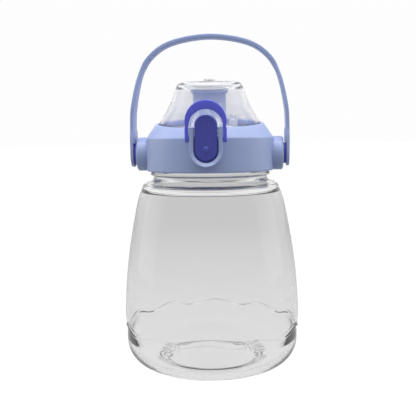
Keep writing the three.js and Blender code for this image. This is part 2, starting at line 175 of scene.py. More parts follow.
def shade(colour, factor):
    return tuple(min(1.0, channel * factor) for channel in colour[:3])


def moulded_plastic(name, colour, roughness, grain=0.35):
    """Satin injection-moulded plastic: fine spark-erosion grain, faint flow clouds and handling scuffs."""
    finish = Finish(name, colour, roughness, Specular_IOR_Level=0.5, IOR=1.49, Subsurface_Weight=0.06)
    finish.set("Subsurface Radius", (1.5 * MM, 1.7 * MM, 2.4 * MM))
    finish.set("Subsurface Scale", 1.0)
    clouds = finish.noise(14.0, 2.0)
    skin = finish.noise(grain, 2.0)
    scuffs = (finish.noise(2.2, 4.0, (1, 1, 0.16)) - 0.66) * 6.0
    finish.set("Base Color", finish.mix(clouds, shade(colour, 0.965), shade(colour, 1.035)))
    finish.set(
        "Roughness", (roughness - 0.06 + clouds * 0.07 + skin * 0.05 + scuffs.clipped() * 0.08).clipped()
    )
    finish.bump((skin, 0.004), (clouds, 0.02))
    return finish.material


def clear_plastic(name, tint, roughness, ripple, index, clarity=1.0):
    """Clear moulded plastic: faint wall ripple, a hazier skin in places and fine vertical draw marks."""
    finish = Finish(name, tint, roughness, Transmission_Weight=clarity, IOR=index, Specular_IOR_Level=0.5)
    ripples = finish.noise(17.0, 1.0, (1, 1, 0.45))
    haze = finish.noise(6.0, 4.0)
    draws = finish.noise(0.9, 2.0, (1, 1, 0.05))
    finish.set("Roughness", (haze * 0.05 + draws * 0.02 + (roughness - 0.03)).clipped())
    finish.set("Base Color", finish.mix(haze, shade(tint, 0.985), shade(tint, 1.0)))
    finish.bump((ripples, ripple), (draws, 0.004))
    return finish.material


def silicone(name, colour):
    """Frosted, milky silicone with a powdery skin."""
    finish = Finish(name, colour, 0.45, Transmission_Weight=0.6, IOR=1.41)
    dust = finish.noise(0.5, 3.0)
    clouds = finish.noise(5.0, 2.0)
    finish.set("Base Color", finish.mix(clouds, shade(colour, 0.94), shade(colour, 1.03)))
    finish.set("Roughness", dust * 0.16 + 0.36)
    finish.bump((dust, 0.01),)
    return finish.material


def drawn_wire(name, colour):
    """Bright drawn steel wire with fine lines along X."""
    finish = Finish(name, colour, 0.28, Metallic=1.0)
    lines = finish.noise(0.12, 2.0, (0.08, 1, 1))
    finish.set("Base Color", finish.mix(lines, shade(colour, 0.86), shade(colour, 1.08)))
    finish.set("Roughness", lines * 0.2 + 0.2)
    finish.bump((lines, 0.006),)
    return finish.material


# ---- mesh tools ----
def corner(start, here, end, steps):
    """Points along the curve that rounds a corner."""
    made = []
    for k in range(steps + 1):
        t = k / steps
        spot = start * (1 - t) ** 2 + here * 2 * t * (1 - t) + end * t ** 2
        made.append((spot.x, spot.y))
    return made


def rounded(points, steps=4):
    """A line of (r, z) points in which a third number rounds that corner by its radius."""
    made = []
    for i, point in enumerate(points):
        if len(point) < 3 or i in (0, len(points) - 1):
            made.append((point[0], point[1]))
            continue
        here = Vector(point[:2])
        before = Vector(points[i - 1][:2]) - here
        after = Vector(points[i + 1][:2]) - here
        half = before.angle(after) / 2
        reach = min(point[2] / math.tan(half), before.length * 0.48, after.length * 0.48)
        start, end = here + before.normalized() * reach, here + after.normalized() * reach
        made += corner(start, here, end, steps)
    return made


def spline(points, count):
    """Even steps along the smooth curve through the points."""
    made = []
    spans = len(points) - 1
    for step in range(count + 1):
        t = step / count * spans
        i = min(int(t), spans - 1)
        t -= i
        p = [Vector(points[max(0, min(spans, i + k))][:2]) for k in (-1, 0, 1, 2)]
        a, b = (p[2] - p[0]) * 0.5, (p[3] - p[1]) * 0.5
        spot = (2 * p[1] - 2 * p[2] + a + b) * t ** 3 + (3 * p[2] - 3 * p[1] - 2 * a - b) * t ** 2
        spot = spot + a * t + p[1]
        made.append((spot.x, spot.y))
    return made


def placed(name, data):
    """A new object in the scene."""
    made = bpy.data.objects.new(name, data)
    bpy.context.scene.collection.objects.link(made)
    return made


def from_work(name, work):
    """A new object with the mesh that bmesh holds."""
    mesh = bpy.data.meshes.new(name)
    work.to_mesh(mesh)
    work.free()
    return placed(name, mesh)


def mesh_object(name, vertices, faces):
    mesh = bpy.data.meshes.new(name)
    mesh.from_pydata([Vector(v) * MM for v in vertices], [], faces)
    face_out(mesh)
    return placed(name, mesh)


def face_out(mesh):
    """Merges doubles and turns every face outwards."""
    work = bmesh.new()
    work.from_mesh(mesh)
    bmesh.ops.remove_doubles(work, verts=work.verts, dist=2e-6)
    bmesh.ops.recalc_face_normals(work, faces=work.faces)
    if work.calc_volume(signed=True) < 0:
        bmesh.ops.reverse_faces(work, faces=work.faces)
    work.to_mesh(mesh)
    work.free()


def revolve(name, profile, segments=96, axis="Z", centre=(0, 0, 0), warp=None):
    """Turns an (r, h) outline in millimetres about an axis. It closes on itself or starts and ends on
    the axis. warp moves a point (r, h, angle) to its own (r, h)."""
    closed = profile[0][0] > 1e-6
    vertices, faces, rings = [], [], []
    for r, h in profile:
        if r < 1e-6:
            rings.append([len(vertices)])
            vertices.append((0, 0, h))
            continue
        rings.append(list(range(len(vertices), len(vertices) + segments)))
        for k in range(segments):
            angle = 2 * math.pi * k / segments
            rr, hh = warp(r, h, angle) if warp else (r, h)
            vertices.append((rr * math.cos(angle), rr * math.sin(angle), hh))
    uppers = rings[1:] + rings[:1] if closed else rings[1:]
    for lower, upper in zip(rings, uppers):
        for k in range(segments):
            corners = ((lower, k), (lower, k + 1), (upper, k + 1), (upper, k))
            unique = list(dict.fromkeys(ring[i % len(ring)] for ring, i in corners))
            if len(unique) > 2:
                faces.append(unique)
    if axis == "X":
        vertices = [(z, x, y) for x, y, z in vertices]
    elif axis == "Y":
        vertices = [(x, z, -y) for x, y, z in vertices]
    return mesh_object(name, [tuple(a + b for a, b in zip(v, centre)) for v in vertices], faces)


def sweep(name, path, section, closed=False):
    """Carries a section along a path in the XZ plane. path holds (x, z, normal x, normal z), and the
    section's (u, v) points lie along that normal and along Y."""
    vertices, faces = [], []
    count = len(section(0))
    for i, (x, z, nx, nz) in enumerate(path):
        for u, v in section(i):
            vertices.append((x + nx * u, v, z + nz * u))
    rows = len(path)
    for i in range(rows if closed else rows - 1):
        for k in range(count):
            a, b = i * count + k, i * count + (k + 1) % count
            c, d = ((i + 1) % rows) * count + k, ((i + 1) % rows) * count + (k + 1) % count
            faces.append((a, b, d, c))
    if not closed:
        faces.append(tuple(range(count)))
        faces.append(tuple(range(len(vertices) - count, len(vertices))))
    return mesh_object(name, vertices, faces)


def track(half, low_z, high_z, steps=28, top_only=None):
    """A racetrack path as (x, z, normal x, normal z), or only its upper part with legs down to top_only."""
    def turn(first, z):
        angles = [first + math.pi * k / steps for k in range(steps + 1)]
        return [(half * math.cos(a), z + half * math.sin(a), math.cos(a), math.sin(a)) for a in angles]

    points = turn(0.0, high_z)
    if top_only is not None:
        return [(half, top_only, 1, 0), *points, (-half, top_only, -1, 0)]
    return points + turn(math.pi, low_z)


def soft_box(width, front, back, radius, steps=3):
    """A rounded rectangular section: u from 0 to width, v from front to back."""
    edges = [(0, front), (width, front), (width, back), (0, back)]
    made = []
    for i, edge in enumerate(edges):
        here = Vector(edge)
        before = (Vector(edges[i - 1]) - here).normalized() * radius
        after = (Vector(edges[(i + 1) % 4]) - here).normalized() * radius
        made += corner(here + before, here, here + after, steps)
    return made


def ribbed(width, front, back, ribs, depth):
    """The same section with round ribs along its front face."""
    count = ribs * 6
    face = []
    for k in range(count + 1):
        valley = 1 - abs(math.sin(math.pi * ribs * k / count))
        face.append((width * k / count, front + depth * valley))
    return [*face, (width, back), (0, back)]


def block(name, lower, upper, bevel=0.0):
    """A box between two corners in millimetres, with rounded edges."""
    work = bmesh.new()
    bmesh.ops.create_cube(work, size=1.0)
    for vertex in work.verts:
        vertex.co = Vector((lo + (hi - lo) * (c + 0.5)) * MM for lo, hi, c in zip(lower, upper, vertex.co))
    if bevel:
        bmesh.ops.bevel(work, geom=work.edges[:], offset=bevel * MM, segments=3, affect="EDGES", profile=0.5)
    return from_work(name, work)


def slab(name, outline, front, back):
    """A flat plate with the (x, z, ...) outline of a closed path, between two places along Y."""
    points = [(p[0], p[1]) for p in outline]
    count = len(points)
    vertices = [(x, front, z) for x, z in points] + [(x, back, z) for x, z in points]
    faces = [tuple(range(count)), tuple(range(2 * count - 1, count - 1, -1))]
    faces += [(k, (k + 1) % count, count + (k + 1) % count, count + k) for k in range(count)]
    return mesh_object(name, vertices, faces)


def bake(piece):
    """Replaces a piece's mesh by its evaluated one and drops its modifiers."""
    graph = bpy.context.evaluated_depsgraph_get()
    graph.update()
    mesh = bpy.data.meshes.new_from_object(piece.evaluated_get(graph))
    piece.modifiers.clear()
    piece.data = mesh


def carve(piece, others, operation="DIFFERENCE"):
    """Joins solids to a piece, cuts them from it or keeps what they share, and removes them."""
    for other in others:
        modifier = piece.modifiers.new("carve", "BOOLEAN")
        modifier.operation = operation
        modifier.solver = "EXACT"
        modifier.object = other
        bake(piece)
        bpy.data.objects.remove(other)
    return piece


def merge(name, parts):
    """Puts several closed solids in one object, without joining their walls."""
    work = bmesh.new()
    for part in parts:
        work.from_mesh(part.data)
        bpy.data.objects.remove(part)
    return from_work(name, work)


def settle(piece, body, key, node, angle=32):
    """Gives a piece smooth faces and its material, puts it under its body and hides the node that it stands
    for.
    """
    mesh = piece.data
    mesh.materials.clear()
    mesh.materials.append(finish(key))
    mesh.shade_smooth()
    mesh.set_sharp_from_angle(angle=math.radians(angle))
    slot = SLOTS[key]
    if slot.startswith("clear"):
        piece.visible_shadow = piece.visible_diffuse = False
    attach(piece, body)
    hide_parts(node)


# ---- geometry nodes ----
class Tree(Nodes):
    """A Geometry Nodes tree with named size inputs, run on an object and baked into its mesh."""

    def __init__(self, name, **sizes):
        super().__init__(bpy.data.node_groups.new(name, "GeometryNodeTree"))
        interface = self.tree.interface
        for label, value in sizes.items():
            kind = "NodeSocketInt" if isinstance(value, int) else "NodeSocketFloat"
            interface.new_socket(label, in_out="INPUT", socket_type=kind).default_value = value
        interface.new_socket("Geometry", in_out="OUTPUT", socket_type="NodeSocketGeometry")
        self.values = sizes
        self.sizes = self.tree.nodes.new("NodeGroupInput")
        self.result = self.tree.nodes.new("NodeGroupOutput")

    def size(self, label):
        return Value(self.tree, self.sizes.outputs[label])

    def build(self, name, geometry, material):
        """Ends in Realize Instances and Set Material, and returns the result as a plain mesh object."""
        real = self.node("GeometryNodeRealizeInstances", Geometry=geometry)
        coated = self.node("GeometryNodeSetMaterial", Geometry=real, Material=material)
        self.tree.links.new(coated.socket, self.result.inputs[0])
        made = placed(name, bpy.data.meshes.new(name))
        modifier = made.modifiers.new("tree", "NODES")
        modifier.node_group = self.tree
        for item in self.tree.interface.items_tree:
            if item.in_out == "INPUT":
                modifier[item.identifier] = self.values[item.name]
        bake(made)
        face_out(made.data)
        return made


def coil(name, radius, wire, start, end, turns, centre, material):
    """A coil spring about an axis along X."""
    tree = Tree(name, Radius=radius * MM, Wire=wire * MM, Length=(end - start) * MM, Turns=float(turns))
    spiral = tree.node(
        "GeometryNodeCurveSpiral", Resolution=26, Rotations=tree.size("Turns"),
        Start_Radius=tree.size("Radius"),
        End_Radius=tree.size("Radius"), Height=tree.size("Length"),
    )
    circle = tree.node("GeometryNodeCurvePrimitiveCircle", Resolution=10, Radius=tree.size("Wire") * 0.5)
    body = tree.node("GeometryNodeCurveToMesh", Curve=spiral, Profile_Curve=circle, Fill_Caps=True)
    place = Vector((start, *centre)) * MM
    laid = tree.node(
        "GeometryNodeTransform", Geometry=body, Translation=place, Rotation=(0.0, math.pi / 2, 0.0)
    )
    return tree.build(name, laid, material)


# ---- sizes and colours ----
def length(name, description, millimetres):
    return bpy.props.FloatProperty(
        name=name, description=description, default=millimetres * MM, unit="LENGTH", subtype="DISTANCE"
    )


def colour(name, description, value):
    return bpy.props.FloatVectorProperty(
        name=name, description=description, default=value, size=3, subtype="COLOR", min=0.0, max=1.0
    )


class BottleSizes(bpy.types.PropertyGroup):
    wall: length("Wall", "Thickness of the bottle's wall", 1.8)
    belt_height: length("Belt height", "Height of the wavy belt above the table", 24.0)
    belt_wave: length("Belt wave", "How far the belt rises and falls", 1.6)
    belt_step: length("Belt step", "How far the bowl lies inside the skirt above the belt", 0.8)
    belt_waves: bpy.props.IntProperty(name="Belt waves", description="Waves round the belt", default=10)
    foot_ribs: bpy.props.IntProperty(
        name="Foot ribs", description="Fine ribs round the foot ring", default=72
    )


class LidSizes(bpy.types.PropertyGroup):
    collar_wall: length("Collar wall", "Thickness of the collar", 1.4)
    rim_height: length("Rim height", "Height of the collar's rim at the handle", 147.1)
    rim_slope: bpy.props.FloatProperty(
        name="Rim slope", description="Rise of the rim to the back", default=0.11
    )
    dome_wall: length("Dome wall", "Thickness of the clear dome", 1.8)
    spout_radius: length("Spout radius", "Outer radius of the spout's stem", 9.9)
    button_ribs: bpy.props.IntProperty(name="Button ribs", description="Grip ribs on the button", default=9)
    strap: length("Strap", "Thickness of the carry handle", 2.6)
    strap_depth: length("Strap depth", "Width of the carry handle from front to back", 13.6)


class BottleColours(bpy.types.PropertyGroup):
    body: colour("Body", "Tint of the clear body", (0.965, 0.965, 0.963))
    dome: colour("Dome", "Tint of the clear dome", (0.965, 0.968, 0.99))
    lid: colour("Lid", "Lid, spout and handle", (0.355, 0.435, 0.70))
    latch: colour("Latch", "Lock ring and handle washers", (0.11, 0.125, 0.72))
    button: colour("Button", "Release button", (0.078, 0.09, 0.46))
    seal: colour("Seals", "Silicone seals", (0.90, 0.90, 0.92))
    steel: colour("Steel", "Pins and springs", (0.62, 0.63, 0.66))
    floor: colour("Floor", "Floor and backdrop", (0.93, 0.93, 0.93))


def sizes_mm(group, *names):
    return [getattr(group, name) / MM for name in names]


FINISHES = {}
SLOTS = {
    "body": "clear_body", "dome": "clear_dome", "lid": "periwinkle", "latch": "indigo", "button": "indigo",
    "seal": "silicone", "steel": "steel",
}


def finish(key):
    """The material of that name, made once."""
    if not FINISHES:
        colours = bpy.context.scene.bottle_colours
        FINISHES["body"] = clear_plastic("clear_body", tuple(colours.body), 0.05, 0.04, 1.33, 0.985)
        FINISHES["dome"] = clear_plastic("clear_dome", tuple(colours.dome), 0.10, 0.01, 1.33, 0.965)
        FINISHES["lid"] = moulded_plastic("periwinkle_plastic", tuple(colours.lid), 0.42)
        FINISHES["latch"] = moulded_plastic("indigo_plastic", tuple(colours.latch), 0.36)
        FINISHES["button"] = moulded_plastic("deep_indigo_plastic", tuple(colours.button), 0.46, 0.3)
        FINISHES["seal"] = silicone("frosted_silicone", tuple(colours.seal))
        FINISHES["steel"] = drawn_wire("spring_steel", tuple(colours.steel))
    return FINISHES[key]


# ---- bottle ----
SIDE = [(53.2, 30.5), (53.1, 38.5), (51.6, 58), (48.9, 77.5), (44.6, 99.5), (41.6, 108.5)]
FOOT_IN, FOOT_OUT = 25.0, 31.0
BOWL_TOP = 18.0
NECK_R, NECK_WALL = 33.2, 2.4
THREAD_LEAD = 6.0


def bowl(radius, inset, steps=20):
    """The rounded lower edge from the foot ring to the widest radius, a superellipse."""
    made = []
    for k in range(1, steps + 1):
        angle = math.pi / 2 * k / steps
        power = 2 / 2.4
        r = FOOT_OUT + (radius - FOOT_OUT) * math.sin(angle) ** power - inset
        made.append((r, inset + (BOWL_TOP - inset) * (1 - math.cos(angle) ** power)))
    return made


def thread(name, inner, outer, root, crest, start, turns, steps=64):
    """A helical ridge between two radii, tapered at its ends."""
    vertices, faces = [], []
    count = int(turns * steps)
    for i in range(count + 1):
        angle = 2 * math.pi * i / steps
        z = start + i / steps * THREAD_LEAD
        taper = min(1.0, (i + 1) / 8, (count - i + 1) / 8)
        tip = inner + (outer - inner) * taper
        for r, dz in ((inner, -root), (tip, -crest * taper), (tip, crest * taper), (inner, root)):
            vertices.append((r * math.cos(angle), r * math.sin(angle), z + dz))
    for i in range(count):
        for k in range(4):
            a, b = 4 * i + k, 4 * i + (k + 1) % 4
            faces.append((a, a + 4, b + 4, b))
    faces += [(0, 1, 2, 3), tuple(4 * count + k for k in (3, 2, 1, 0))]
    return mesh_object(name, vertices, faces)


class BOTTLE_OT_body(bpy.types.Operator):
    """Makes the clear body with its wavy belt, foot ring, neck and thread"""

    bl_idname = "bottle.body"
    bl_label = "Clear body"

    def execute(self, context):
        sizes = context.scene.bottle_sizes
        wall, belt, wave, step = sizes_mm(sizes, "wall", "belt_height", "belt_wave", "belt_step")
        lip = high("bottle_body", 2)
        widest = high("bottle_body", 0)
        bowl_r = widest - step
        side = spline(SIDE, 44)
        outer = [(0, 5.4), *rounded([(0, 5.4), (14, 4.9, 9), (20.5, 3, 4), (FOOT_IN, 0, 0.6), (28, 0)])[1:]]
        outer += [(30, 0), *bowl(bowl_r, 0)]
        outer += [
            (bowl_r, 21), (bowl_r - 0.25, belt - 1.2), (bowl_r - 0.2, belt - 0.6), (bowl_r + 0.1, belt - 0.35)
        ]
        outer += [(widest - 0.25, belt - 0.05), (widest - 0.05, belt + 0.3), (widest, belt + 0.75)]
        outer += [(widest - 0.28, belt + 1.6), (widest - 0.36, belt + 2.6), (widest - 0.1, belt + 4.6)]
        outer += side
        outer += rounded([
            (41.6, 108.5), (40.5, 111.4, 2.4), (35.6, 112.6, 2.6), (34.4, 114.2, 1.2), (34.4, 115.8, 0.5),
            (36.1, 116.3, 0.5), (36.1, 117.6, 0.5), (NECK_R, 118.3, 0.6), (NECK_R, lip - 0.8),
            (NECK_R - 0.3, lip, 0.3),
            (NECK_R - NECK_WALL, lip),
        ])[1:]
        inner = rounded([
            (NECK_R - NECK_WALL, lip), (NECK_R - NECK_WALL, 113.6, 3), (33.6, 111.1, 2), (38.6, 109.2, 3),
            (41.6 - wall, 106.5),
        ])[1:]
        inner += [(r - wall, z) for r, z in reversed(side) if z < 106]
        inner += [(widest - wall, belt + 1.5), (bowl_r - wall, belt - 1.5), (bowl_r - wall, 20)]
        inner += [point for point in reversed(bowl(bowl_r, wall + 0.6)) if point[0] > 30.6]
        inner += rounded(
            [(30.4, 3.2), (29.2, 3.1, 0.8), (27.6, 4.9, 1.0), (22, 5.8, 5), (12, 7.6, 8), (0, 7.9)]
        )
        ribs = sizes.foot_ribs

        def warp(r, z, angle):
            if z < 0.05 and FOOT_IN + 1 < r < FOOT_OUT:
                return r, 0.3 + 0.3 * math.cos(ribs * angle)
            fade = 1 - min(1.0, abs(z - belt) / 9)
            if r > bowl_r - 3.5 and fade > 0:
                z += wave * fade * math.cos(sizes.belt_waves * (angle + math.pi / 2))
            return r, z

        shell = revolve("bottle_shell", outer + inner, 360, warp=warp)
        ridge = thread("ridge", NECK_R - 0.4, NECK_R + 1.1, 1.1, 0.5, 122.5, 1.5)
        settle(merge("bottle_shell_threaded", [shell, ridge]), "bottle", "body", "bottle_body")
        gasket_low, gasket_high = low("mouth_gasket", 2), high("mouth_gasket", 2)
        outline = rounded([
            (31.6, gasket_low), (34, gasket_low, 0.4), (34, gasket_high, 0.4), (30.6, gasket_high, 0.4),
            (30.6, gasket_low, 0.4), (31.6, gasket_low),
        ])
        seal = revolve("lip_gasket", outline[:-1], 96)
        settle(seal, "mouth_seal", "seal", "mouth_gasket")
        return {"FINISHED"}


# ---- lid ----
HINGE = (34.5, 152.0)
ROCKER = (-39.6, 141.5)
RING_PIVOT = (-42.0, 137.8)
PIVOT_Z = 128.7
BEZEL_HALF, BEZEL_LOW, BEZEL_HIGH = 9.15, 131.35, 144.85
BEZEL_FRONT = -43.6
POCKET_HALF = 6.9
BEZEL_TOP = 143.9
LIP_PROUD = 0.03  # keeps the housing's lip off the wall that it stands on
COLLAR_R, COLLAR_LOW, CONE_Z, CONE_SLOPE = 38.5, 118.6, 138.2, 0.7
DECK_Z = 141.0
SPOUT_TOP = 167.5
VENT = (14.2, -9.4)

TOP_TILT, LEAN_LOW, LEAN_RISE = 0.08, 152.0, 8.0


def cone_r(z):
    return COLLAR_R - 0.2 - CONE_SLOPE * (z - CONE_Z)


def lean(r, z, angle):
    """Slopes the tops of the spout and the dome forwards, as the collar's rim does."""
    share = min(1.0, max(0.0, (z - LEAN_LOW) / LEAN_RISE))
    return r, z + TOP_TILT * r * math.sin(angle) * share


def span(side, near, far):
    """Two distances from the middle, on one side of it, in rising order."""
    return sorted((side * near, side * far))


def rod(name, radius, start, end, y, z, segments=32, soft=0.0):
    """A rod along X, with softened ends if soft is given."""
    ends = [(radius, start, soft), (radius, end, soft)] if soft else [(radius, start), (radius, end)]
    return revolve(name, rounded([(0, start), *ends, (0, end)]), segments, "X", (0, y, z))


class BOTTLE_OT_collar(bpy.types.Operator):
    """Makes the collar with its cone, handle lugs, button housing and hinge ears"""

    bl_idname = "bottle.collar"
    bl_label = "Collar"

    def execute(self, context):
        sizes = context.scene.bottle_lid
        wall, rim = sizes_mm(sizes, "collar_wall", "rim_height")
        slope = sizes.rim_slope

        def tilt(r, z, angle):
            weight = (z - CONE_Z - 1.5) / (rim - CONE_Z - 1.5)
            if weight <= 0:
                return r, z
            lift = slope * r * math.sin(angle) * min(weight, 1.0)
            return r - CONE_SLOPE * lift, z + lift

        inner_r = COLLAR_R - wall
        outline = rounded([
            (inner_r, COLLAR_LOW + 1), (inner_r + 0.3, COLLAR_LOW, 0.2), (COLLAR_R - 0.4, COLLAR_LOW, 0.3),
            (COLLAR_R, COLLAR_LOW + 0.8, 0.5), (COLLAR_R, 131), (COLLAR_R, CONE_Z - 0.2, 1.6),
            (cone_r(CONE_Z + 2.2), CONE_Z + 2.2), (cone_r(142.6), 142.6), (cone_r(rim), rim, 0.5),
            (cone_r(rim) - 1.6, rim, 0.3), (cone_r(DECK_Z + 1) - 1.6, DECK_Z + 1, 0.6),
            (inner_r, CONE_Z + 1.2, 0.6),
            (inner_r, 131),
        ])
        shell = revolve("collar_body", outline, 192, warp=tilt)
        for side in (-1, 1):
            edge = rounded([
                (0, 36.5), (9.7, 36.5), (10.1, 39), (10.1, 43.3, 0.9), (9.0, 44, 0.7), (6.9, 43.95),
                (6.5, 43.6, 0.3),
                (0, 43.6),
            ])
            lug = revolve("lug", [(r, side * h) for r, h in edge], 72, "X", (0, 0, PIVOT_Z))
            carve(shell, [lug], "UNION")

        def trimmed(piece):
            """Cuts off what stands above the housing's flat top."""
            return carve(piece, [block("trim", (-20, -60, BEZEL_TOP), (20, 0, 200))])

        boss = slab("boss", track(BEZEL_HALF, BEZEL_LOW, BEZEL_HIGH, 32), BEZEL_FRONT + 1.7, -34.0)
        carve(shell, [trimmed(boss)], "UNION")
        pocket = slab("pocket", track(POCKET_HALF, BEZEL_LOW - 0.35, BEZEL_HIGH, 32), -60, -34.5)
        holes = [
            rod("hole", 1.15, -8.7, 8.7, *ROCKER), rod("hole", 1.1, -10.5, -7.5, *RING_PIVOT),
            rod("hole", 1.1, 7.5, 10.5, *RING_PIVOT), rod("hole", 3.1, -45, -39, 0, PIVOT_Z),
            rod("hole", 3.1, 39, 45, 0, PIVOT_Z),
            block("hole", (-6.9, HINGE[0] - 10, HINGE[1] - 4.2), (6.9, HINGE[0] + 2, HINGE[1] + 5)),
        ]
        hollow = revolve("hollow", [
            (0, 110), (inner_r, 110), (inner_r, 139.4), (32.7, 143), (32.7, 150), (0, 150),
        ], 96)
        front = block("front", (-12, -38.4, 110), (12, -20, 143))
        carve(shell, [pocket, *holes, carve(hollow, [front], "INTERSECT")])
        width = BEZEL_HALF - POCKET_HALF
        inner_path = track(POCKET_HALF, BEZEL_LOW, BEZEL_HIGH, 40)
        edge = rounded([
            (-LIP_PROUD, BEZEL_FRONT + 4.4), (-LIP_PROUD, BEZEL_FRONT + 1.5, 0.2),
            (width * 0.66, BEZEL_FRONT + 0.25, 0.3), (width * 0.78, BEZEL_FRONT, 0.2),
            (width + LIP_PROUD, BEZEL_FRONT + 0.05, 0.35), (width + LIP_PROUD, BEZEL_FRONT + 4.4),
        ])
        lip = trimmed(sweep("lip", inner_path, lambda i: edge, closed=True))
        ears = []
        for side in (-1, 1):
            start, end = span(side, 7, 10)
            ears.append(rod("ear", 2.6, start, end, *HINGE, soft=0.4))
            foot = block(
                "ear", (start, HINGE[0] - 4.6, HINGE[1] - 7.5), (end, HINGE[0] + 2.6, HINGE[1]), 0.35
            )
            ears.append(foot)
        whole = merge("collar_moulding", [shell, lip, *ears])
        settle(whole, "lid", "lid", "collar_shell", angle=28)
        return {"FINISHED"}


class BOTTLE_OT_cap(bpy.types.Operator):
    """Makes the threaded cap, the spout, its gasket and the vent plug"""

    bl_idname = "bottle.cap"
    bl_label = "Cap and spout"

    def execute(self, context):
        radius = context.scene.bottle_lid.spout_radius / MM
        floor, wall = DECK_Z - 2.6, 35.3
        cup = revolve("cup", rounded([
            (8.2, floor), (wall, floor, 1.0), (wall, COLLAR_LOW + 0.6), (36.8, COLLAR_LOW + 0.6, 0.3),
            (36.8, DECK_Z - 2.2, 0.4), (34.2, DECK_Z, 0.8), (29.6, DECK_Z, 0.4), (29.0, DECK_Z - 0.5, 0.3),
            (15.2, DECK_Z - 0.5, 0.3), (14.8, DECK_Z, 0.3), (8.2, DECK_Z, 0.2), (8.2, floor),
        ])[:-1], 160)
        ridge = thread("ridge", wall + 0.3, wall - 1.5, 1.0, 0.5, 125.5, 1.25)
        settle(merge("threaded_cap", [cup, ridge]), "lid", "lid", "inner_cap")
        top = SPOUT_TOP
        bore = 7.2
        stem = revolve("spout_moulding", rounded([
            (bore, floor), (7.9, floor, 0.2), (7.9, DECK_Z + 1.2), (13.6, DECK_Z + 1.2, 0.3),
            (13.6, DECK_Z + 2.5, 0.5), (radius + 0.2, DECK_Z + 3.2, 1.6), (radius, top - 3.6),
            (radius + 0.15, top - 3.0, 0.5), (radius + 1.3, top - 2.4, 0.5), (radius + 1.3, top - 0.2, 0.7),
            (radius + 0.3, top, 0.5), (bore + 0.6, top, 0.7), (bore, top - 1.4, 0.8), (bore, floor),
        ], 5)[:-1], 128, warp=lean)
        settle(stem, "lid", "lid", "spout")
        ring_low, ring_high = low("spout_gasket", 2), high("spout_gasket", 2)
        ring = revolve("deck_gasket", rounded([
            (8.4, ring_low), (13.2, ring_low, 0.15), (13.2, ring_high, 0.15), (8.4, ring_high, 0.15),
            (8.4, ring_low),
        ])[:-1], 72)
        settle(ring, "lid", "seal", "spout_gasket")
        plug = revolve("vent_stopper", rounded([
            (0, DECK_Z - 3.4), (1.5, DECK_Z - 3.4, 0.4), (1.5, DECK_Z + 0.3), (2.6, DECK_Z + 0.3, 0.3),
            (2.6, DECK_Z + 7.2, 0.5), (2.0, DECK_Z + 7.9, 0.3), (2.0, DECK_Z + 9.6, 0.9),
            (1.2, DECK_Z + 10.7, 0.5),
            (0, DECK_Z + 10.8),
        ]), 48, centre=(*VENT, 0))
        settle(plug, "lid", "seal", "vent_plug")
        return {"FINISHED"}


# ---- dome ----
DOME_SIDE = [(33.2, 143.5), (30.5, 147.3), (26.6, 153.5), (23.5, 159.5), (21.3, 165.3), (20.0, 168.9)]
ARCH_HALF, ARCH_FRONT = 6.55, -41.2


class BOTTLE_OT_dome(bpy.types.Operator):
    """Makes the clear flip dome with its arch, its knuckles and the silicone seal"""

    bl_idname = "bottle.dome"
    bl_label = "Dome and seal"

    def execute(self, context):
        sizes = context.scene.bottle_lid
        wall, rim = sizes_mm(sizes, "dome_wall", "rim_height")
        slope = sizes.rim_slope
        top = 171.9
        base = rim + 0.14
        side = [p for p in spline(DOME_SIDE, 40) if p[1] > base + 0.5]
        side_r = 30.5

        def tilt(r, z, angle):
            r, z = lean(r, z, angle)
            weight = 1 - (z - base) / 9
            if weight <= 0:
                return r, z
            lift = slope * r * math.sin(angle) * min(weight, 1.0)
            return r - 0.68 * lift, z + lift

        outer = [(side_r - wall, base), (side_r - 0.3, base), (side_r, base + 0.3), *side]
        outer += rounded([side[-1], (18.9, 171.0, 2.4), (16.0, top, 2.0), (0, top)], 8)[1:]
        inner = rounded([
            (0, top - wall), (14.8, top - wall, 2.0), (17.0, 169.2, 1.6), (side[-1][0] - wall, 167.4)
        ], 8)
        inner += [(r - wall, z) for r, z in reversed(side) if z < 167]
        shell = revolve("flip_dome", outer[:-1] + [(2.1, top), (2.1, top - wall)] + inner[1:], 192, warp=tilt)
        return self.finish_dome(shell, wall, top)

    def finish_dome(self, shell, wall, top):
        path = track(ARCH_HALF, BEZEL_LOW, BEZEL_HIGH, 32, BEZEL_TOP + 0.3)
        section = ribbed(BEZEL_HALF - ARCH_HALF, ARCH_FRONT, -27.0, 3, 0.28)
        arch = sweep("arch", path, lambda i: section)
        inside = [(0, 135), (34.5, 135), (30.4 - wall / 2, 146.9)]
        inside += [(r - wall / 2, z) for r, z in spline(DOME_SIDE, 30) if z > 147.4] + [(0, 169)]
        carve(arch, [revolve("inside", inside, 96)])
        carve(shell, [arch], "UNION")
        knuckles = []
        for hand in (-1, 1):
            start, end = span(hand, 3.5, 6.6)
            arm = block("arm", (start, HINGE[0] - 9.0, HINGE[1] - 1.5), (end, HINGE[0], HINGE[1] + 2.5), 0.3)
            carve(arm, [revolve("inside", inside, 96)])
            knuckles += [rod("knuckle", 2.6, start, end, *HINGE, soft=0.4), arm]
        carve(shell, knuckles, "UNION")
        settle(shell, "dome", "dome", "dome_cover", angle=30)
        under = top - wall - 0.3
        seal = revolve("dome_seal", rounded([
            (0, under - 1.4), (8.6, under - 1.4, 0.4), (9.2, under - 2.0, 0.4), (11.9, under - 2.0, 0.4),
            (12.4, under - 1.3, 0.4), (12.4, under, 0.4), (1.8, under), (1.8, top + 0.3),
            (3.7, top + 0.3, 0.25),
            (3.5, top + 0.9, 0.4), (2.2, top + 1.35, 0.6), (0, top + 1.4),
        ]), 96, warp=lean)
        settle(seal, "dome", "seal", "spout_seal")
        return {"FINISHED"}


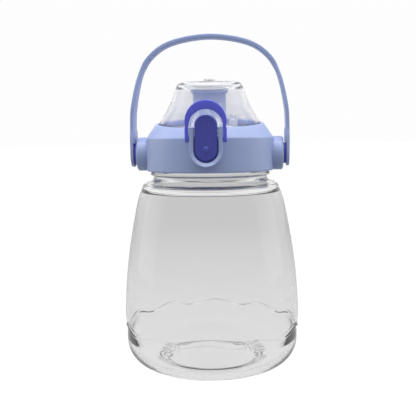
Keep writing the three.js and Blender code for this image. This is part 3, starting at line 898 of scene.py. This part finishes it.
# ---- latch ----
BUTTON_HALF, BUTTON_LOW, BUTTON_TOP = 6.2, 125.7, 150.7
BUTTON_FRONT, BUTTON_BACK = -42.4, -39.8
RING_OUT, RING_IN, RING_TOP = 11.45, 9.4, 158.6
RING_CROWN = 4.9  # the bow's width at its top


class BOTTLE_OT_button(bpy.types.Operator):
    """Makes the rocker button with its grip ribs, raised dot and pivot boss"""

    bl_idname = "bottle.button"
    bl_label = "Release button"

    def execute(self, context):
        ribs = context.scene.bottle_lid.button_ribs
        low_c, high_c = BUTTON_LOW + BUTTON_HALF, BUTTON_TOP - BUTTON_HALF
        rings = [(0.0, BUTTON_BACK - BUTTON_FRONT), (0.0, 0.75), (0.12, 0.42), (0.4, 0.2)]
        rings += [(0.9, 0.1), (2.4, 0.06), (4.2, 0.03)]
        vertices, faces = [], []
        for inset, depth in rings:
            path = track(BUTTON_HALF - inset, low_c, high_c, 30)
            count = len(path)
            vertices += [(x, BUTTON_FRONT + depth, z) for x, z, _, _ in path]
        for i in range(len(rings) - 1):
            for k in range(count):
                a, b = i * count + k, i * count + (k + 1) % count
                faces.append((a, b, b + count, a + count))
        faces += [tuple(range(count)), tuple(range(len(vertices) - count, len(vertices)))]
        plate = mesh_object("plate", vertices, faces)
        skirt = slab("skirt", track(6.6, BEZEL_LOW, ROCKER[1] - 5.5, 30), BUTTON_BACK - 0.9, BUTTON_BACK)
        carve(plate, [skirt, rod("boss", 2.0, -6, 6, *ROCKER, soft=0.2)], "UNION")
        carve(plate, [
            rod("bore", 1.2, -8, 8, *ROCKER), rod("room", 2.2, -2.8, 2.8, *ROCKER),
            block("mouth", (-2.8, ROCKER[0], ROCKER[1] - 2.2), (2.8, ROCKER[0] + 5, ROCKER[1] + 2.2)),
        ])
        dot = revolve("dot", rounded([
            (0, BUTTON_FRONT - 0.75), (1.2, BUTTON_FRONT - 0.6, 0.6), (1.8, BUTTON_FRONT - 0.05, 0.3),
            (1.9, BUTTON_FRONT + 0.5), (0, BUTTON_FRONT + 0.5),
        ]), 40, "Y", (0, 0, BUTTON_LOW + 6.1))
        nib = block(
            "nib", (-0.4, BUTTON_FRONT - 0.05, BUTTON_LOW), (0.4, BUTTON_FRONT + 1.6, BUTTON_LOW + 1.1), 0.15
        )
        grip = self.grip(ribs, low_c, high_c)
        piece = merge("rocker_button", [plate, dot, nib, grip])
        settle(piece, "button", "button", "release_button", angle=34)
        return {"FINISHED"}

    def grip(self, ribs, low_c, high_c):
        """Upright ribs across the button's face, each as long as the face is tall where it stands."""
        tree = Tree(
            "grip_ribs", Count=ribs, Reach=(BUTTON_HALF - 1.15) * MM, Straight=(high_c - low_c) * MM,
            Radius=0.3 * MM,
        )
        count, reach, straight = (tree.size(label) for label in ("Count", "Reach", "Straight"))
        gap = reach.maths("DIVIDE", reach * 2.0, count - 1.0)
        offset = tree.node("ShaderNodeCombineXYZ", X=gap)
        start = tree.node("ShaderNodeCombineXYZ", X=reach * -1.0)
        row = tree.node("GeometryNodeMeshLine", Count=count, Start_Location=start, Offset=offset)
        across = tree.node("ShaderNodeSeparateXYZ", Vector=tree.node("GeometryNodeInputPosition"))
        rest = reach.maths("MAXIMUM", reach * reach - across * across, 0.0)
        tall = reach.maths("SQRT", rest) * 2.0 + straight
        rib = tree.node(
            "GeometryNodeMeshCylinder", {"fill_type": "NGON"}, Vertices=8, Radius=tree.size("Radius"),
            Depth=1.0,
        )
        scale = tree.node("ShaderNodeCombineXYZ", X=0.8, Y=1.0, Z=tall)
        copies = tree.node("GeometryNodeInstanceOnPoints", Points=row, Instance=rib, Scale=scale)
        place = (0.0, (BUTTON_FRONT + 0.06) * MM, (low_c + high_c) / 2 * MM)
        laid = tree.node("GeometryNodeTransform", Geometry=copies, Translation=place)
        return tree.build("grip_ribs", laid, finish("button"))


class BOTTLE_OT_ring(bpy.types.Operator):
    """Makes the lock ring, a bow that swings over the dome's arch"""

    bl_idname = "bottle.ring"
    bl_label = "Lock ring"

    def execute(self, context):
        inner_z = RING_TOP - RING_CROWN - RING_IN
        shift = RING_TOP - RING_OUT - inner_z
        front = RING_PIVOT[0] - 2.1
        back = front + 2.2
        legs, steps = 7, 40
        rise = inner_z - RING_PIVOT[1]
        path = [(RING_IN, RING_PIVOT[1] + rise * k / legs, 1, 0) for k in range(legs)]
        widths = [RING_OUT - RING_IN] * legs
        for k in range(steps + 1):
            angle = math.pi * k / steps
            across, up = math.cos(angle), math.sin(angle)
            path.append((RING_IN * across, inner_z + RING_IN * up, across, up))
            widths.append(shift * up + math.sqrt(RING_OUT ** 2 - (shift * across) ** 2) - RING_IN)
        for k in reversed(range(legs)):
            x, z, nx, nz = path[k]
            path.append((-x, z, -nx, nz))
            widths.append(widths[k])
        bow = sweep("lock_bow_ring", path, lambda i: soft_box(widths[i], front, back, 0.6, 4))
        ends = []
        for side in (-1, 1):
            ends.append(rod("end", 2.1, *span(side, RING_IN, RING_OUT), *RING_PIVOT, segments=48, soft=0.5))
            ends.append(rod("stub", 0.8, *span(side, 7.9, 10), *RING_PIVOT, segments=24))
        carve(bow, ends, "UNION")
        settle(bow, "ring", "latch", "lock_ring", angle=40)
        return {"FINISHED"}


class BOTTLE_OT_hardware(bpy.types.Operator):
    """Makes the steel pins and coil springs of the dome and the button"""

    bl_idname = "bottle.hardware"
    bl_label = "Pins and springs"

    def execute(self, context):
        for name, node, radius, place in (
            ("hinge_pin", "dome_hinge_pin", 0.9, HINGE), ("rocker_pin", "button_pin", 0.85, ROCKER)
        ):
            half = high(node, 0)
            settle(rod(name, radius, -half, half, *place, segments=40, soft=0.25), "lid", "steel", node)
        for name, node, radius, wire, place in (
            ("dome_coil", "dome_spring", 1.6, 0.6, HINGE), ("rocker_coil", "button_spring", 1.55, 0.5, ROCKER)
        ):
            half = high(node, 0) - wire / 2
            settle(coil(name, radius, wire, -half, half, 5, place, finish("steel")), "lid", "steel", node)
        return {"FINISHED"}


# ---- handle ----
HANDLE_X = 47.6
EYE_R = 7.7
ARCH_POINTS = [
    (HANDLE_X, PIVOT_Z - EYE_R), (HANDLE_X, 144.5), (46.7, 158), (42.6, 175.5), (36.3, 187.2), (23, 195.8),
    (0, 199.4),
]
TAPER_LOW, TAPER_HIGH, CROWN_DEPTH = 158.0, 181.0, 8.6
STEP_Z = 178.5


class BOTTLE_OT_handle(bpy.types.Operator):
    """Makes the carry handle with its eyes, pivot pins and washers"""

    bl_idname = "bottle.handle"
    bl_label = "Carry handle"

    def execute(self, context):
        strap, depth = sizes_mm(context.scene.bottle_lid, "strap", "strap_depth")
        mirrored = [(-x, z) for x, z in reversed(ARCH_POINTS[:-1])]
        line = spline(ARCH_POINTS + mirrored, 132)
        path = []
        for i, (x, z) in enumerate(line):
            ahead, behind = line[min(i + 1, len(line) - 1)], line[max(i - 1, 0)]
            along = Vector((ahead[0] - behind[0], ahead[1] - behind[1])).normalized()
            path.append((x, z, -along.y, along.x))

        def section(i):
            z = line[i][1]
            drop = PIVOT_Z - z
            half = math.sqrt(max(EYE_R ** 2 - drop ** 2, 0.05)) if drop > 0 else EYE_R
            blend = min(1.0, max(0.0, (z - PIVOT_Z - 11) / 3))
            half = half + (depth / 2 - half) * blend
            taper = min(1.0, max(0.0, (z - TAPER_LOW) / (TAPER_HIGH - TAPER_LOW)))
            half += (CROWN_DEPTH / 2 - half) * taper
            step = min(1.0, max(0.0, (z - STEP_Z) / 3.5))
            thick = strap - 0.45 + 0.45 * step if z > PIVOT_Z + 14 else strap
            radius = min(0.75, half * 0.4)
            return soft_box(thick, -half, half, radius, 4)

        bail = sweep("carry_bail", path, section)
        face = HANDLE_X - strap
        for side in (-1, 1):
            cuts = []
            for radius, start, end in ((3.1, 40, 50), (4.4, HANDLE_X - 0.9, HANDLE_X + 3)):
                cuts.append(rod("cut", radius, *span(side, start, end), 0, PIVOT_Z, 56))
            start, end = span(side, face - 3, face + 0.8)
            cuts.append(block("slot", (start, -9, PIVOT_Z - 9), (end, 9, PIVOT_Z + 6.7)))
            carve(bail, cuts)
        settle(bail, "bail", "lid", "handle", angle=36)
        pin = rounded([
            (0, 39.2), (2.8, 39.2, 0.3), (2.8, HANDLE_X - 0.6), (4.1, HANDLE_X - 0.6, 0.1),
            (4.1, HANDLE_X + 0.1, 0.3), (1.6, HANDLE_X + 0.1, 0.2), (1.4, HANDLE_X - 0.15, 0.1),
            (0, HANDLE_X - 0.15),
        ])
        washer = rounded([(3.1, 44.3), (6.3, 44.3, 0.2), (6.3, 45.5, 0.2), (3.1, 45.5, 0.2), (3.1, 44.3)])[
            :-1
        ]
        for hand, side in (("left", -1), ("right", 1)):
            for name, key, outline in (("pin", "lid", pin), ("washer", "latch", washer)):
                turned = [(r, side * h) for r, h in outline]
                made = revolve(f"bail_{name}_{hand}", turned, 64, "X", (0, 0, PIVOT_Z))
                settle(made, "pivots", key, f"pivot_{name}_{hand}")
        return {"FINISHED"}


# ---- stage ----
CAMERA_DISTANCE = 0.400
CAMERA_HEIGHT = 0.1388
CAMERA_PITCH = 6.2
CAMERA_SIDE = 3.0
CAMERA_YAW = 0.24
CAMERA_ROLL = -0.7
CAMERA_LENS = 56.8
# the sky: dim and open in front, bright overhead, grey at the horizon for what is seen through the plastic
BACKDROP, SURROUND, TENT_GREY, TENT_DIM = 0.985, 1.0, 0.98, 0.72
OPENING_EDGE, OVERHEAD_EDGE, SOFTNESS = 0.04, 0.3, 2.2
OVERHEAD_LIFT, HORIZON_GAIN = 0.1, 8.0
# the floor: millimetres from the middle, and its greys for each kind of ray
FLOOR_NEAR, FLOOR_FAR = 90.0, 600.0
FLOOR_NEAR_GREY, FLOOR_FAR_GREY = 0.62, 0.48
FLOOR_LIT, FLOOR_GLOW = (0.20,) * 3, (0.91,) * 3
LAMPS = (
    ("left_softbox", (-0.7, 0.05, 0.34), (0, 0, 0.12), (0.5, 0.8), 0.95),
    ("right_softbox", (0.7, 0.05, 0.34), (0, 0, 0.12), (0.5, 0.8), 0.95),
    ("top_softbox", (0, -0.1, 0.9), (0, 0, 0.1), (0.7, 0.5), 5.2),
)


def area_light(name, place, aim, size, power):
    data = bpy.data.lights.new(name, "AREA")
    data.shape = "RECTANGLE"
    data.size, data.size_y = size
    data.energy = power
    lamp = placed(name, data)
    lamp.visible_camera = lamp.visible_transmission = False
    lamp.location = place
    lamp.rotation_euler = (Vector(aim) - Vector(place)).to_track_quat("-Z", "Y").to_euler()


def rays(nodes, *kinds):
    """Whether a ray is of each of those kinds."""
    return [nodes.node("ShaderNodeLightPath", output=f"Is {kind} Ray") for kind in kinds]


class BOTTLE_OT_stage(bpy.types.Operator):
    """Makes the camera, the pale floor, the soft lights and the sky"""

    bl_idname = "bottle.stage"
    bl_label = "Stage"

    def execute(self, context):
        scene = context.scene
        side = math.radians(CAMERA_SIDE)
        camera = placed("camera", bpy.data.cameras.new("camera"))
        camera.data.lens = CAMERA_LENS
        camera.data.clip_start = 0.01
        turn = Matrix.Rotation(side + math.radians(CAMERA_YAW), 4, "Z")
        turn @= Matrix.Rotation(math.radians(90 - CAMERA_PITCH), 4, "X")
        turn @= Matrix.Rotation(math.radians(CAMERA_ROLL), 4, "Z")
        place = Vector((CAMERA_DISTANCE * math.sin(side), -CAMERA_DISTANCE * math.cos(side), CAMERA_HEIGHT))
        camera.matrix_world = Matrix.Translation(place) @ turn
        scene.camera = camera
        scene.view_settings.view_transform = "Standard"
        self.floor(scene)
        self.sky(scene)
        for lamp in LAMPS:
            area_light(*lamp)
        return {"FINISHED"}

    def floor(self, scene):
        """A wide pale floor that meets the sky without a line and takes only a faint shadow."""
        work = bmesh.new()
        bmesh.ops.create_circle(work, cap_ends=True, segments=96, radius=12.0)
        floor = from_work("floor", work)
        floor.location.z = -0.0002
        paper = Finish("pale_floor", shade(scene.bottle_colours.floor, 0.12), 0.9, Specular_IOR_Level=0.0)
        direct, through, glossy = rays(paper, "Camera", "Transmission", "Glossy")
        tooth = paper.noise(2.5, 3.0)
        away = paper.node("ShaderNodeVectorMath", {"operation": "LENGTH"}, output=1, _0=paper.place())
        far = ((away - FLOOR_NEAR) * (1 / (FLOOR_FAR - FLOOR_NEAR))).clipped()
        behind = paper.mix(far, (FLOOR_NEAR_GREY,) * 3, (FLOOR_FAR_GREY,) * 3)
        indirect = paper.mix((through + glossy).clipped(), FLOOR_LIT, behind)
        pale = paper.mix(direct, indirect, FLOOR_GLOW)
        paper.set("Emission Color", pale)
        paper.set("Emission Strength", 1.0)
        paper.set("Roughness", tooth * 0.1 + 0.85)
        floor.data.materials.append(paper.material)

    def sky(self, scene):
        """A white studio tent, dim and open in front and bright overhead."""
        world = bpy.data.worlds.new("studio")
        scene.world = world
        world.use_nodes = True
        tree = world.node_tree
        studio = Nodes(tree)
        split = tree.nodes.new("ShaderNodeSeparateXYZ")
        plug(tree, studio.node("ShaderNodeTexCoord", output="Generated"), split.inputs[0])
        ahead, up = (Value(tree, split.outputs[axis]) for axis in "YZ")
        direct, through = rays(studio, "Camera", "Transmission")
        opening = ((OPENING_EDGE - ahead) * SOFTNESS).clipped()
        overhead = ((up - OVERHEAD_EDGE) * SOFTNESS).clipped()
        tent = TENT_GREY - opening * (1 - overhead) * TENT_DIM + overhead * OVERHEAD_LIFT
        surround = FLOOR_FAR_GREY + (up * HORIZON_GAIN).clipped() * (SURROUND - FLOOR_FAR_GREY)
        indirect = through * surround + (1 - through) * tent
        background = tree.nodes["Background"]
        plug(tree, direct * BACKDROP + (1 - direct) * indirect, background.inputs["Strength"])
        background.inputs["Color"].default_value = (1.0, 1.0, 1.0, 1.0)


# ---- add-on ----
STEPS = (
    BOTTLE_OT_stage, BOTTLE_OT_body, BOTTLE_OT_collar, BOTTLE_OT_cap, BOTTLE_OT_dome, BOTTLE_OT_button,
    BOTTLE_OT_ring, BOTTLE_OT_hardware, BOTTLE_OT_handle,
)


class BOTTLE_PT_panel(bpy.types.Panel):
    """Lists the bottle's sizes, colours and build steps"""

    bl_label = "Sports Bottle"
    bl_space_type = "VIEW_3D"
    bl_region_type = "UI"
    bl_category = "Bottle"

    def draw(self, context):
        for group in (context.scene.bottle_sizes, context.scene.bottle_lid, context.scene.bottle_colours):
            box = self.layout.box()
            for name in group.__annotations__:
                box.prop(group, name)
        for step in STEPS:
            self.layout.operator(step.bl_idname)


GROUPS = {"bottle_sizes": BottleSizes, "bottle_lid": LidSizes, "bottle_colours": BottleColours}
CLASSES = (*GROUPS.values(), *STEPS, BOTTLE_PT_panel)


def register():
    for made in CLASSES:
        bpy.utils.register_class(made)
    for name, group in GROUPS.items():
        setattr(bpy.types.Scene, name, bpy.props.PointerProperty(type=group))


def unregister():
    for name in GROUPS:
        delattr(bpy.types.Scene, name)
    for made in reversed(CLASSES):
        bpy.utils.unregister_class(made)


def main():
    register()
    for step in STEPS:
        family, name = step.bl_idname.split(".")
        getattr(getattr(bpy.ops, family), name)()


if __name__ == "__main__":
    main()
